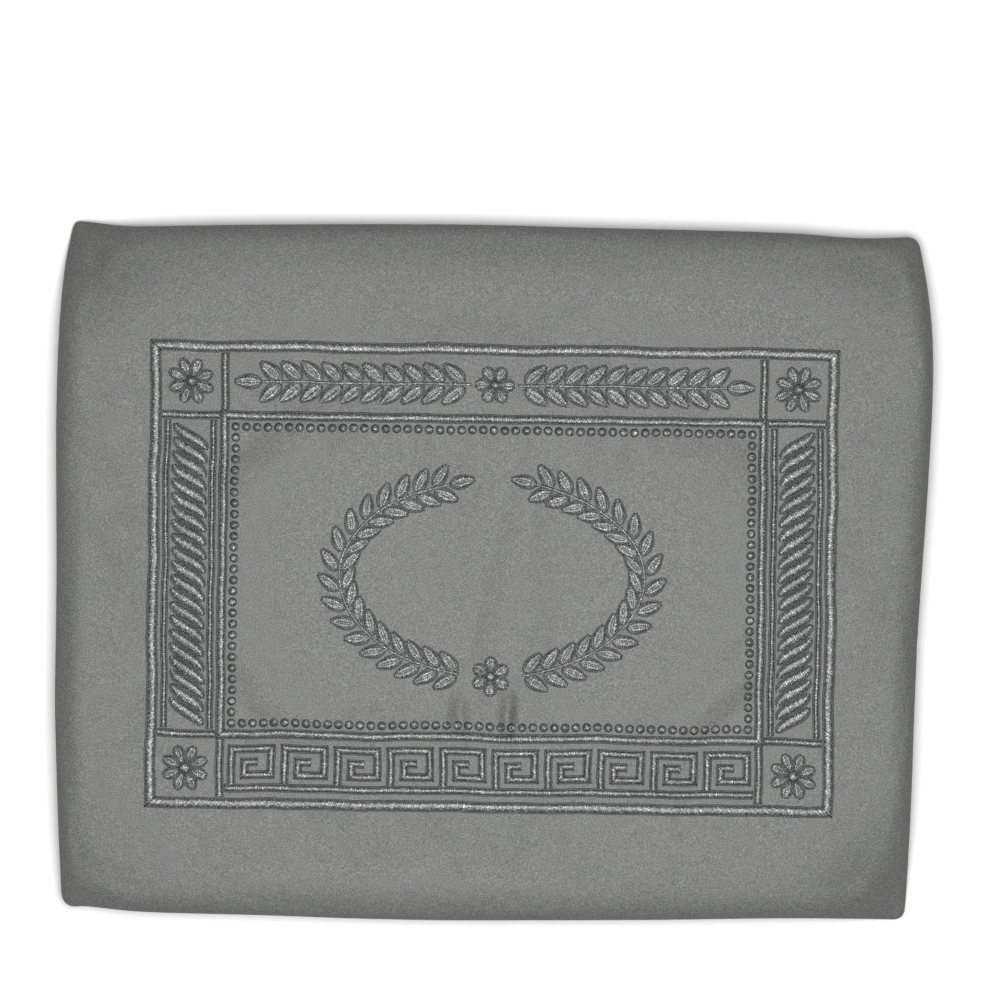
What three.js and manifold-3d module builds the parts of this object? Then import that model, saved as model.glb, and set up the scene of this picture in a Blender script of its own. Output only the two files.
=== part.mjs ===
// A tallit bag: a flat, padded satin pouch for a folded prayer shawl, filled out and lying on its back.
// X runs along its width, Y up its face, and Z through its thickness. Z = 0 is what it lies on,
// under the middle of its outline. All lengths are in millimetres.
//
// The face and the back are two shallow padded bowls, sewn together along a seam round the edge.
// The back has a long opening near the bag's top edge, closed by a zip from inside.
// Raised rails and rosettes on the face are the main bands of its embroidered frame.

import * as THREE from "three";
import { mergeVertices } from "three/addons/utils/BufferGeometryUtils.js";
import Module from "manifold-3d";

const wasm = await Module();
wasm.setup();

// The whole bag.
const BAG_WIDTH = 360;
const BAG_HEIGHT = 286;
const BAG_THICKNESS = 28;
const WALL_THICKNESS = 2.4;
const SEAM_HEIGHT = 12;
const SEAM_GAP = 0.3;

// Within this reach of the seam the inner surface's grid lines crowd towards it, so that the wall
// stays whole there. Further in, they lie straight over the outer surface's.
const WALL_TURN_WIDTH = 10;

// The rounding of its two panels, as widths seen from above, and the face's slow rise to its middle.
const FACE_ROUNDING_WIDTH = 23;
const BACK_ROUNDING_WIDTH = 45;
const FACE_DOME_HEIGHT = 1.5;

// The rounding grows by these shares at the corners, where a filled bag is thinner.
const CORNER_THINNING = { face: 0.9, back: 0.3 };
const THINNING_POWER = 8;

// The outline. Each side stands in from the bag's full size by a share of that size: of the width
// for the left and right sides, of the height for the others. Along runs from 0 at the bottom or
// left to 1 at the top or right. A side is drawn in most at its ends, where the corner is sewn.
const SIDES = {
  left: [
    { along: 0, inward: 0.0145 },
    { along: 0.15, inward: 0.0095 },
    { along: 0.36, inward: 0.0033 },
    { along: 0.68, inward: 0 },
    { along: 0.84, inward: 0.0015 },
    { along: 0.93, inward: 0.0068 },
    { along: 1, inward: 0.0165 },
  ],
  right: [
    { along: 0, inward: 0.024 },
    { along: 0.2, inward: 0.0178 },
    { along: 0.4, inward: 0.0155 },
    { along: 0.62, inward: 0.0056 },
    { along: 0.8, inward: 0 },
    { along: 0.9, inward: 0.0068 },
    { along: 1, inward: 0.0205 },
  ],
  bottom: [
    { along: 0, inward: 0.008 },
    { along: 0.045, inward: 0.0112 },
    { along: 0.1, inward: 0.0062 },
    { along: 0.4, inward: 0 },
    { along: 0.7, inward: 0.0056 },
    { along: 0.87, inward: 0.0112 },
    { along: 1, inward: 0.0084 },
  ],
  top: [
    { along: 0, inward: 0.002 },
    { along: 0.085, inward: 0.0102 },
    { along: 0.22, inward: 0.0056 },
    { along: 0.45, inward: 0 },
    { along: 0.75, inward: 0.0045 },
    { along: 0.93, inward: 0.0117 },
    { along: 1, inward: 0.007 },
  ],
};
const CORNER_RADIUS = { bottomLeft: 9, bottomRight: 7, topLeft: 5, topRight: 6 };
const SMALLEST_RADIUS = 0.5;

// Broad soft dents in the face. Their places and reaches are shares of the bag's width and height,
// and their depths are shares of its thickness.
const DENTS = [
  { name: "beside the left edge", x: -0.42, y: -0.2, reachX: 0.09, reachY: 0.06, depth: 0.03 },
  { name: "lower right corner", x: 0.43, y: -0.4, reachX: 0.09, reachY: 0.11, depth: 0.07 },
  { name: "upper left corner", x: -0.43, y: 0.42, reachX: 0.1, reachY: 0.08, depth: 0.05 },
  { name: "below the middle", x: 0.02, y: -0.24, reachX: 0.07, reachY: 0.09, depth: 0.03 },
];

// The zip, which lies behind a long opening in the back. Its tape keeps clear of the seam allowance
// inside the top edge, and its opening stops short of the bag's sides.
const ZIP_OPENING_WIDTH = 7.6;
const ZIP_SIDE_MARGIN = 30;
const ZIP_TAPE_MARGIN = 4.5;
const ZIP_TAPE_THICKNESS = 0.8;
const ZIP_SEAM_MARGIN = 3.5;
const ZIP_COIL_HEIGHT = 2.2;
const COIL_CLEARANCE = 1.5;
const COIL_EDGE_SHARE = 0.5;
const SLIDER_LENGTH = 11;
const SLIDER_HEIGHT = 2.6;
const SLIDER_CLEARANCE = 1.1;
const SLIDER_END_MARGIN = 5;
const PULL_LENGTH = 24;
const PULL_THICKNESS = 1;
const PULL_CLEARANCE = 0.3;

// The embroidered frame on the face, centred a little below the middle.
const FRAME_SIDE_MARGIN = 40;
const FRAME_END_MARGIN = 48;
const FRAME_DROP_DISTANCE = 2.3;
const BORDER_WIDTH = 30;
const OUTER_RAIL_WIDTH = 3.4;
const INNER_RAIL_WIDTH = 2.6;
const STITCH_HEIGHT = 0.9;
const STITCH_EDGE_SHARE = 0.45;
const STITCH_GAP = 0.3;
const ROSETTE_CLEARANCE = 3;
const ROSETTE_PETALS = 8;
const PETAL_NOTCH = 0.2;
const PETAL_CROWN = 0.6;

// How finely the surfaces are cut.
const EDGE_STEPS = 5;
const MIDDLE_STEP_LENGTH = 16;
const NEAREST_LINE_DISTANCE = 4;
const RAIL_STEP_LENGTH = 14;
const PETAL_STEPS = 4;
const INVERSE_ROUNDS = 4;
const BAR_END_STEPS = 5;
const MERGE_DISTANCE = 1e-4;

const FINISHES = {
  satin: { color: 0x868886, roughness: 0.6, metalness: 0 },
  zip: { color: 0x6e706f, roughness: 0.5, metalness: 0 },
  stitching: { color: 0x9a9c9a, roughness: 0.45, metalness: 0 },
};

// The inward share of a side at a place along it, on a smooth curve through its table.
function sideCurve(points) {
  const curve = new THREE.CubicInterpolant(
    points.map((point) => point.along),
    points.map((point) => point.inward),
    1,
  );
  return (along) => curve.evaluate(THREE.MathUtils.clamp(along, 0, 1))[0];
}

const sideInward = {
  left: sideCurve(SIDES.left),
  right: sideCurve(SIDES.right),
  bottom: sideCurve(SIDES.bottom),
  top: sideCurve(SIDES.top),
};

// The four edges of the outline at a place given as shares of the bag's width and height.
function edgesAt(shareX, shareY) {
  return {
    left: BAG_WIDTH * (sideInward.left(shareY) - 0.5),
    right: BAG_WIDTH * (0.5 - sideInward.right(shareY)),
    bottom: BAG_HEIGHT * (sideInward.bottom(shareX) - 0.5),
    top: BAG_HEIGHT * (0.5 - sideInward.top(shareX)),
  };
}

function cornerRadius(across, up) {
  if (up < 0) return across < 0 ? CORNER_RADIUS.bottomLeft : CORNER_RADIUS.bottomRight;
  return across < 0 ? CORNER_RADIUS.topLeft : CORNER_RADIUS.topRight;
}

// Where a grid line lies, from -1 to 1 over a half length, on a surface inset from the outer one.
function linePlace(share, half, inset) {
  const fromEdge = (1 - Math.abs(share)) * half;
  const shift = inset * Math.max(0, 1 - fromEdge / WALL_TURN_WIDTH);
  return Math.sign(share) * (half - fromEdge - shift);
}

// A point of a panel seen from above. Across and up run from -1 to 1 over its width and height, and
// inset is how far the surface lies inside the bag's outer one.
function planPoint(across, up, inset) {
  const halfWidth = BAG_WIDTH / 2 - inset;
  const halfHeight = BAG_HEIGHT / 2 - inset;
  const radius = Math.max(cornerRadius(across, up) - inset, SMALLEST_RADIUS);
  let x = linePlace(across, BAG_WIDTH / 2, inset);
  let y = linePlace(up, BAG_HEIGHT / 2, inset);
  const intoX = (Math.abs(x) - halfWidth + radius) / radius;
  const intoY = (Math.abs(y) - halfHeight + radius) / radius;
  if (intoX > 0 && intoY > 0) {
    x = Math.sign(x) * (halfWidth - radius + radius * intoX * Math.sqrt(1 - intoY ** 2 / 2));
    y = Math.sign(y) * (halfHeight - radius + radius * intoY * Math.sqrt(1 - intoX ** 2 / 2));
  }
  const shareX = x / BAG_WIDTH + 0.5;
  const shareY = y / BAG_HEIGHT + 0.5;
  const edges = edgesAt(shareX, shareY);
  return {
    x: THREE.MathUtils.lerp(edges.left, edges.right, shareX),
    y: THREE.MathUtils.lerp(edges.bottom, edges.top, shareY),
  };
}

// Rises from 0 at the seam to 1 at the end of the rounding, along a quarter of an ellipse.
function quarterRound(share) {
  return share >= 1 ? 1 : Math.sqrt(1 - (1 - share) ** 2);
}

// How far a panel has risen from the seam, from 0 to 1.
function fullness(across, up, inset, rounding, thinning) {
  const fromSide = BAG_WIDTH / 2 - inset - Math.abs(linePlace(across, BAG_WIDTH / 2, inset));
  const fromEnd = BAG_HEIGHT / 2 - inset - Math.abs(linePlace(up, BAG_HEIGHT / 2, inset));
  const sideDepth = (rounding - inset) * (1 + thinning * up ** THINNING_POWER);
  const endDepth = (rounding - inset) * (1 + thinning * across ** THINNING_POWER);
  return quarterRound(fromSide / sideDepth) * quarterRound(fromEnd / endDepth);
}

function dentDepth(x, y) {
  return DENTS.reduce((sum, dent) => {
    const awayX = (x / BAG_WIDTH - dent.x) / dent.reachX;
    const awayY = (y / BAG_HEIGHT - dent.y) / dent.reachY;
    return sum + dent.depth * BAG_THICKNESS * Math.exp(-(awayX ** 2) - awayY ** 2);
  }, 0);
}

// The face's surface, at its outer side or a wall further in.
function facePoint(across, up, inset) {
  const plan = planPoint(across, up, inset);
  const crown = BAG_THICKNESS - SEAM_HEIGHT - FACE_DOME_HEIGHT - inset;
  const full = fullness(across, up, inset, FACE_ROUNDING_WIDTH, CORNER_THINNING.face);
  const dome = FACE_DOME_HEIGHT * (1 - across ** 2) * (1 - up ** 2);
  const dent = dentDepth(plan.x, plan.y) * full;
  const z = SEAM_HEIGHT + SEAM_GAP / 2 + (crown - SEAM_GAP / 2) * full + dome - dent;
  return new THREE.Vector3(plan.x, plan.y, z);
}

// The back's surface, which lies flat at Z = 0 inside its rounded edge.
function backPoint(across, up, inset) {
  const plan = planPoint(across, up, inset);
  const full = fullness(across, up, inset, BACK_ROUNDING_WIDTH, CORNER_THINNING.back);
  const seam = SEAM_HEIGHT - SEAM_GAP / 2;
  return new THREE.Vector3(plan.x, plan.y, seam - (seam - inset) * full);
}

// The height of the face over a point seen from above.
function faceHeightAt(x, y) {
  let shareX = x / BAG_WIDTH + 0.5;
  let shareY = y / BAG_HEIGHT + 0.5;
  for (let round = 0; round < INVERSE_ROUNDS; round += 1) {
    const edges = edgesAt(shareX, shareY);
    shareX = (x - edges.left) / (edges.right - edges.left);
    shareY = (y - edges.bottom) / (edges.top - edges.bottom);
  }
  return facePoint(2 * shareX - 1, 2 * shareY - 1, 0).z;
}

// Grid lines from -1 to 1 over a half length: evenly turned round each edge, evenly spaced between,
// and with any fixed lines, given in millimetres, in place of those too near them.
function gridLines(half, rounding, fixed = []) {
  const lines = [];
  for (let step = 1; step < EDGE_STEPS; step += 1) {
    const line = half - rounding * (1 - Math.cos((step * Math.PI) / (2 * EDGE_STEPS)));
    lines.push(line, -line);
  }
  const flat = half - rounding;
  const count = Math.ceil((2 * flat) / MIDDLE_STEP_LENGTH);
  for (let step = 0; step <= count; step += 1) lines.push(flat - (2 * flat * step) / count);
  const isClear = (line) => fixed.every((other) => Math.abs(line - other) > NEAREST_LINE_DISTANCE);
  const clear = lines.filter(isClear);
  return [-half, ...clear, ...fixed, half].sort((a, b) => a - b).map((line) => line / half);
}

// A closed solid between an upper and a lower surface over a grid, with no material in open cells.
function sheetBetween(acrossLines, upLines, upperPoint, lowerPoint, isOpen = () => false) {
  const columns = acrossLines.length;
  const rows = upLines.length;
  const solid = (i, j) => i >= 0 && j >= 0 && i < columns - 1 && j < rows - 1 && !isOpen(i, j);
  const upper = (i, j) => j * columns + i;
  const lower = (i, j) => upper(i, j) + columns * rows;
  const positions = [];
  for (const pointAt of [upperPoint, lowerPoint]) {
    for (const up of upLines) {
      for (const across of acrossLines) positions.push(...pointAt(across, up).toArray());
    }
  }
  const faces = [];
  const quad = (a, b, c, d) => faces.push(a, b, c, a, c, d);
  for (let j = 0; j < rows - 1; j += 1) {
    for (let i = 0; i < columns - 1; i += 1) {
      if (!solid(i, j)) continue;
      quad(upper(i, j), upper(i + 1, j), upper(i + 1, j + 1), upper(i, j + 1));
      quad(lower(i, j), lower(i, j + 1), lower(i + 1, j + 1), lower(i + 1, j));
      const corners = [[i, j], [i + 1, j], [i + 1, j + 1], [i, j + 1]];
      const beyond = [[i, j - 1], [i + 1, j], [i, j + 1], [i - 1, j]];
      beyond.forEach((cell, side) => {
        if (solid(...cell)) return;
        const start = corners[side];
        const end = corners[(side + 1) % corners.length];
        quad(lower(...start), lower(...end), upper(...end), upper(...start));
      });
    }
  }
  return geometryFrom(positions, faces);
}

function geometryFrom(positions, faces) {
  const geometry = new THREE.BufferGeometry();
  geometry.setAttribute("position", new THREE.Float32BufferAttribute(positions, 3));
  geometry.setIndex(faces);
  return geometry;
}

// A three.js geometry as a closed solid for joining, and back.
function toSolid(geometry) {
  const bare = new THREE.BufferGeometry().setAttribute("position", geometry.getAttribute("position"));
  if (geometry.index) bare.setIndex(geometry.index);
  const merged = mergeVertices(bare, MERGE_DISTANCE);
  return new wasm.Manifold(
    new wasm.Mesh({
      numProp: 3,
      vertProperties: merged.getAttribute("position").array,
      triVerts: new Uint32Array(merged.index.array),
    }),
  );
}

function fromSolid(solid) {
  const mesh = solid.getMesh();
  return geometryFrom(mesh.vertProperties, Array.from(mesh.triVerts));
}

function makeFrontPanel() {
  return sheetBetween(
    gridLines(BAG_WIDTH / 2, FACE_ROUNDING_WIDTH),
    gridLines(BAG_HEIGHT / 2, FACE_ROUNDING_WIDTH),
    (across, up) => facePoint(across, up, 0),
    (across, up) => facePoint(across, up, WALL_THICKNESS),
  );
}

// Where the zip's opening and tape end, from the middle of the bag, along its width and height.
const openingTop = BAG_HEIGHT / 2 - WALL_THICKNESS - ZIP_SEAM_MARGIN - ZIP_TAPE_MARGIN;
const openingMiddle = openingTop - ZIP_OPENING_WIDTH / 2;
const openingEnd = BAG_WIDTH / 2 - ZIP_SIDE_MARGIN;
const openingLines = {
  across: [-openingEnd, openingEnd],
  up: [openingTop - ZIP_OPENING_WIDTH, openingTop],
};
const tapeLines = {
  across: [-openingEnd - ZIP_TAPE_MARGIN, openingEnd + ZIP_TAPE_MARGIN],
  up: [openingTop - ZIP_OPENING_WIDTH - ZIP_TAPE_MARGIN, openingTop + ZIP_TAPE_MARGIN],
};
const backLines = {
  across: gridLines(BAG_WIDTH / 2, BACK_ROUNDING_WIDTH, [...openingLines.across, ...tapeLines.across]),
  up: gridLines(BAG_HEIGHT / 2, BACK_ROUNDING_WIDTH, [...openingLines.up, ...tapeLines.up]),
};

// Whether a grid cell of the back lies inside a rectangle given by its lines.
function cellWithin(i, j, rectangle) {
  const middle = (lines, k, half) => ((lines[k] + lines[k + 1]) / 2) * half;
  const x = middle(backLines.across, i, BAG_WIDTH / 2);
  const y = middle(backLines.up, j, BAG_HEIGHT / 2);
  const [left, right] = rectangle.across;
  const [bottom, top] = rectangle.up;
  return x > left && x < right && y > bottom && y < top;
}

function makeBackPanel() {
  return sheetBetween(
    backLines.across,
    backLines.up,
    (across, up) => backPoint(across, up, WALL_THICKNESS),
    (across, up) => backPoint(across, up, 0),
    (i, j) => cellWithin(i, j, openingLines),
  );
}

// A point a given height above the inside of the back.
function aboveBack(across, up, lift) {
  return backPoint(across, up, WALL_THICKNESS).add(new THREE.Vector3(0, 0, lift));
}

// The tape lies on the inside of the back, over its opening and a margin all round.
function makeZipTape() {
  return sheetBetween(
    backLines.across,
    backLines.up,
    (across, up) => aboveBack(across, up, SEAM_GAP + ZIP_TAPE_THICKNESS),
    (across, up) => aboveBack(across, up, SEAM_GAP),
    (i, j) => !cellWithin(i, j, tapeLines),
  );
}

// The closed coil, a ridge down from the tape into the opening, lower along its two sides.
function makeZipCoil() {
  const halfLength = openingEnd - COIL_CLEARANCE;
  const halfWidth = ZIP_OPENING_WIDTH / 2 - COIL_CLEARANCE;
  const between = backLines.across
    .map((line) => (line * BAG_WIDTH) / 2)
    .filter((line) => Math.abs(line) < halfLength - NEAREST_LINE_DISTANCE);
  const across = [-halfLength, ...between, halfLength];
  const ups = [-halfWidth, -halfWidth / 2, halfWidth / 2, halfWidth].map((line) => openingMiddle + line);
  const drop = (up) => {
    const atSide = Math.abs(up * (BAG_HEIGHT / 2) - openingMiddle) > (halfWidth * 3) / 4;
    return ZIP_COIL_HEIGHT * (atSide ? COIL_EDGE_SHARE : 1);
  };
  return sheetBetween(
    across.map((line) => line / (BAG_WIDTH / 2)),
    ups.map((line) => line / (BAG_HEIGHT / 2)),
    (a, b) => aboveBack(a, b, SEAM_GAP + ZIP_TAPE_THICKNESS / 2),
    (a, b) => aboveBack(a, b, SEAM_GAP - drop(b)),
  );
}

// A bar with rounded ends, seen from above, standing on the plane Z = 0.
function roundedBar(length, width, height) {
  const radius = Math.min(width, length) / 2;
  const shape = new THREE.Shape();
  shape.absarc(length / 2 - radius, 0, radius, -Math.PI / 2, Math.PI / 2);
  shape.absarc(-length / 2 + radius, 0, radius, Math.PI / 2, (3 * Math.PI) / 2);
  const settings = { depth: height, bevelEnabled: false, curveSegments: BAR_END_STEPS };
  return new THREE.ExtrudeGeometry(shape, settings);
}

// Puts a bar made round the origin under the zip's tape, tilted as the back is there.
function underTape(bar, x, drop) {
  const edgeAt = (line) => aboveBack(x / (BAG_WIDTH / 2), line / (BAG_HEIGHT / 2), SEAM_GAP);
  const low = edgeAt(openingLines.up[0]);
  const high = edgeAt(openingLines.up[1]);
  const tilt = Math.atan2(high.z - low.z, high.y - low.y);
  const middle = low.add(high).multiplyScalar(0.5);
  return bar.translate(0, 0, -drop).rotateX(tilt).translate(middle.x, middle.y, middle.z);
}

// One closed zip: tape, coil, slider and pull tab, with nothing in it that turns.
function makeBackZip() {
  const sliderX = -openingEnd + COIL_CLEARANCE + SLIDER_END_MARGIN + SLIDER_LENGTH / 2;
  const sliderWidth = ZIP_OPENING_WIDTH - 2 * SLIDER_CLEARANCE;
  const sliderDrop = ZIP_COIL_HEIGHT / 2 + SLIDER_HEIGHT;
  const sliderBar = roundedBar(SLIDER_LENGTH, sliderWidth, SLIDER_HEIGHT);
  const pullBar = roundedBar(PULL_LENGTH, sliderWidth - 2 * PULL_CLEARANCE, PULL_THICKNESS);
  const slider = underTape(sliderBar, sliderX, sliderDrop);
  const pull = underTape(pullBar, sliderX + PULL_LENGTH / 2, sliderDrop + PULL_THICKNESS / 2);
  const pieces = [makeZipCoil(), slider, pull].map(toSolid);
  return fromSolid(pieces.reduce((whole, piece) => whole.add(piece), toSolid(makeZipTape())));
}

// Points along a rectangle round the middle of the frame, from corner to corner.
function rectanglePath(width, height) {
  const corners = [
    [-width / 2, -height / 2],
    [width / 2, -height / 2],
    [width / 2, height / 2],
    [-width / 2, height / 2],
  ];
  return corners.flatMap(([x, y], k) => {
    const [nextX, nextY] = corners[(k + 1) % corners.length];
    const count = Math.ceil(Math.hypot(nextX - x, nextY - y) / RAIL_STEP_LENGTH);
    return Array.from({ length: count }, (_, step) => ({
      x: THREE.MathUtils.lerp(x, nextX, step / count),
      y: THREE.MathUtils.lerp(y, nextY, step / count) - FRAME_DROP_DISTANCE,
    }));
  });
}

// A raised satin-stitched rail round a rectangle on the face, mitred at its corners.
function makeRail(width, height, railWidth) {
  const sides = [-0.5, 0.5].map((side) => {
    const grow = side * railWidth * 2;
    return rectanglePath(width, height).map((point) => ({
      x: point.x * ((width + grow) / width),
      y: (point.y + FRAME_DROP_DISTANCE) * ((height + grow) / height) - FRAME_DROP_DISTANCE,
    }));
  });
  const middle = rectanglePath(width, height);
  const [inner, outer] = sides;
  const positions = [];
  const put = (point, lift) => {
    positions.push(point.x, point.y, faceHeightAt(point.x, point.y) + STITCH_GAP + lift);
  };
  middle.forEach((point, k) => {
    put(inner[k], 0);
    put(inner[k], STITCH_HEIGHT * STITCH_EDGE_SHARE);
    put(point, STITCH_HEIGHT);
    put(outer[k], STITCH_HEIGHT * STITCH_EDGE_SHARE);
    put(outer[k], 0);
  });
  const faces = [];
  const sectionPoints = 5;
  middle.forEach((_, k) => {
    const here = k * sectionPoints;
    const next = ((k + 1) % middle.length) * sectionPoints;
    for (let corner = 0; corner < sectionPoints; corner += 1) {
      const after = (corner + 1) % sectionPoints;
      faces.push(here + corner, next + after, next + corner);
      faces.push(here + corner, here + after, next + after);
    }
  });
  return geometryFrom(positions, faces);
}

// A raised flower of satin-stitched petals, low at its rim and at the dimple in its middle.
function makeRosette(centreX, centreY) {
  const rings = [
    { reach: 1, lift: 0 },
    { reach: 1, lift: STITCH_EDGE_SHARE },
    { reach: PETAL_CROWN, lift: 1 },
  ];
  const blockWidth = BORDER_WIDTH - OUTER_RAIL_WIDTH - INNER_RAIL_WIDTH / 2;
  const fullRadius = blockWidth / 2 - ROSETTE_CLEARANCE;
  const count = ROSETTE_PETALS * PETAL_STEPS;
  const positions = [];
  const put = (x, y, lift) => {
    const z = faceHeightAt(centreX + x, centreY + y) + STITCH_GAP + lift * STITCH_HEIGHT;
    positions.push(centreX + x, centreY + y, z);
  };
  for (const ring of rings) {
    for (let step = 0; step < count; step += 1) {
      const turn = (2 * Math.PI * step) / count;
      const notch = 1 - PETAL_NOTCH * (1 - Math.abs(Math.cos((turn * ROSETTE_PETALS) / 2)));
      const radius = fullRadius * ring.reach * notch;
      put(radius * Math.cos(turn), radius * Math.sin(turn), ring.lift);
    }
  }
  put(0, 0, 0);
  put(0, 0, STITCH_EDGE_SHARE);
  const lowMiddle = rings.length * count;
  const faces = [];
  for (let step = 0; step < count; step += 1) {
    const after = (step + 1) % count;
    faces.push(lowMiddle, after, step);
    for (let ring = 0; ring < rings.length - 1; ring += 1) {
      const low = ring * count;
      const high = low + count;
      faces.push(low + step, low + after, high + after, low + step, high + after, high + step);
    }
    const top = (rings.length - 1) * count;
    faces.push(top + step, top + after, lowMiddle + 1);
  }
  return geometryFrom(positions, faces);
}

function namedMesh(name, geometry, finish) {
  const mesh = new THREE.Mesh(geometry, new THREE.MeshStandardMaterial(finish));
  mesh.name = name;
  return mesh;
}

function makeEmbroidery() {
  const group = new THREE.Group();
  const frameWidth = BAG_WIDTH - 2 * FRAME_SIDE_MARGIN;
  const frameHeight = BAG_HEIGHT - 2 * FRAME_END_MARGIN;
  const outer = makeRail(frameWidth - OUTER_RAIL_WIDTH, frameHeight - OUTER_RAIL_WIDTH, OUTER_RAIL_WIDTH);
  const inner = makeRail(frameWidth - 2 * BORDER_WIDTH, frameHeight - 2 * BORDER_WIDTH, INNER_RAIL_WIDTH);
  group.add(namedMesh("embroidery_outer_rail", outer, FINISHES.stitching));
  group.add(namedMesh("embroidery_inner_rail", inner, FINISHES.stitching));
  const corners = { lower_left: [-1, -1], lower_right: [1, -1], upper_right: [1, 1], upper_left: [-1, 1] };
  const toBlock = OUTER_RAIL_WIDTH + (BORDER_WIDTH - OUTER_RAIL_WIDTH - INNER_RAIL_WIDTH / 2) / 2;
  for (const [corner, [sideX, sideY]] of Object.entries(corners)) {
    const x = sideX * (frameWidth / 2 - toBlock);
    const y = sideY * (frameHeight / 2 - toBlock) - FRAME_DROP_DISTANCE;
    group.add(namedMesh(`embroidery_rosette_${corner}`, makeRosette(x, y), FINISHES.stitching));
  }
  return group;
}

const bag = new THREE.Group();
bag.add(namedMesh("front_panel", makeFrontPanel(), FINISHES.satin));
bag.add(namedMesh("back_panel", makeBackPanel(), FINISHES.satin));
bag.add(namedMesh("back_zip", makeBackZip(), FINISHES.zip));
bag.add(makeEmbroidery());

export default bag;
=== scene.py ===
# The look of a tallit bag: a filled-out pouch of grey satin that lies on its back, with a frame of
# silver and dark thread stitched on its face and a closed zip near the top edge of its back.
# The shapes are worked out in millimetres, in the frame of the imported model, and made in metres.

import math

import bpy
import numpy as np
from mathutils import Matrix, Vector
from mathutils.bvhtree import BVHTree


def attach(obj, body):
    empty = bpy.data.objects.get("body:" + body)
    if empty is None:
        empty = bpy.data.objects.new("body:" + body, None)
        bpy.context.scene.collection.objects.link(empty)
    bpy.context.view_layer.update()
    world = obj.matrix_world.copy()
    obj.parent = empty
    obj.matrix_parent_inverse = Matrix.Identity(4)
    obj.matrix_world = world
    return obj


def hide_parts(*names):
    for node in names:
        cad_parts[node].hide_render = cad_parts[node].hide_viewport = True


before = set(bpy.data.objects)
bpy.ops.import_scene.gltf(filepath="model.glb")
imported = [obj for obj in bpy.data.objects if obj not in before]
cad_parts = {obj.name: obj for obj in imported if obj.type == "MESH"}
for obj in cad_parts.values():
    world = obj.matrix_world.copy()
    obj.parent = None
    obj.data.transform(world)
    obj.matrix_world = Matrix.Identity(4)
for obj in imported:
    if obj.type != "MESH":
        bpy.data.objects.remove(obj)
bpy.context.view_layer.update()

MM = 0.001
BODY = "root"
rng = np.random.default_rng(18)

# A square's corners, anticlockwise.
SQUARE = ((-1, -1), (1, -1), (1, 1), (-1, 1))

# The bag, as the model has it.
BAG_WIDTH = 360.0
BAG_HEIGHT = 286.0
HALF_WIDTH = BAG_WIDTH / 2
HALF_HEIGHT = BAG_HEIGHT / 2
BAG_THICKNESS = 28.0
SEAM_HEIGHT = 12.0
FACE_ROUNDINGS = {"left": 13.0, "right": 12.5, "bottom": 17.0, "top": 32.0}
FACE_ROUNDNESS = 2.6
BACK_ROUNDING = 45.0
BACK_ROUNDINGS = dict.fromkeys(FACE_ROUNDINGS, BACK_ROUNDING)
BACK_ROUNDNESS = 2.3
FACE_DOME = 1.5
FACE_THINNING = {"bottom left": 1.3, "bottom right": 4.0, "top left": 2.4, "top right": 1.1}
BACK_THINNING = dict.fromkeys(FACE_THINNING, 0.3)
THINNING_POWER = 7

# How far each side stands in from the bag's full size, as a share of it. Along runs from 0 at the
# left or bottom end of a side to 1 at its other end.
SIDES = {
    "left": [
        (0, 0.0135), (0.15, 0.0097), (0.28, 0.007), (0.37, 0.0064), (0.46, 0.0056), (0.54, 0.0043),
        (0.63, 0.002), (0.72, 0.0005), (0.84, 0.0013), (0.93, 0.0053), (0.97, 0.0098), (1, 0.0146),
    ],
    "right": [
        (0, 0.0212), (0.035, 0.0194), (0.08, 0.0188), (0.2, 0.0176), (0.4, 0.0155), (0.62, 0.0056),
        (0.8, 0), (0.9, 0.0047), (1, 0.0182),
    ],
    "bottom": [
        (0, 0.006), (0.01, 0.0075), (0.026, 0.0104), (0.09, 0.0052), (0.25, 0.0044), (0.4, 0.002),
        (0.5, 0.0026), (0.7, 0.0056), (0.87, 0.0096), (1, 0.0062),
    ],
    "top": [
        (0, 0.0005), (0.022, 0.003), (0.055, 0.008), (0.085, 0.009), (0.22, 0.0052), (0.45, 0.0018),
        (0.62, 0.0036), (0.75, 0.0045), (0.85, 0.0062), (0.93, 0.0112), (1, 0.007),
    ],
}
CORNER_RADII = {"bottom left": 7.0, "bottom right": 4.5, "top left": 3.2, "top right": 5.0}

# Broad soft dents in the face. A row is a dent's place and its reach in millimetres, its turn in
# degrees and its depth in millimetres.
DENTS = [
    ((-151, -57), (32, 17), 20, 0.9),
    ((7, -69), (25, 26), 0, 0.8),
    ((-75, -118), (5, 16), -6, 0.25),
    ((-21, -120), (5, 15), 4, 0.25),
]

# How far the corners droop, where the filling doesn't reach them. Face and back share it.
DROOPS = [
    ((172, -138), (26, 26), 0, 11.0),
    ((-176, 141), (25, 25), 0, 10.5),
    ((174, 138), (24, 24), 0, 3.0),
    ((-174, -138), (24, 24), 0, 4.0),
]

# Two small puckers where the stitching has drawn the cloth up, and a faint crease above them.
PUCKERS = [
    ((-12.5, -58), (3.0, 9), 3, 1.7),
    ((7.4, -58), (2.8, 8), -3, 3.2),
    ((-2.0, 25), (2.6, 38), 0, 0.2),
]

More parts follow.
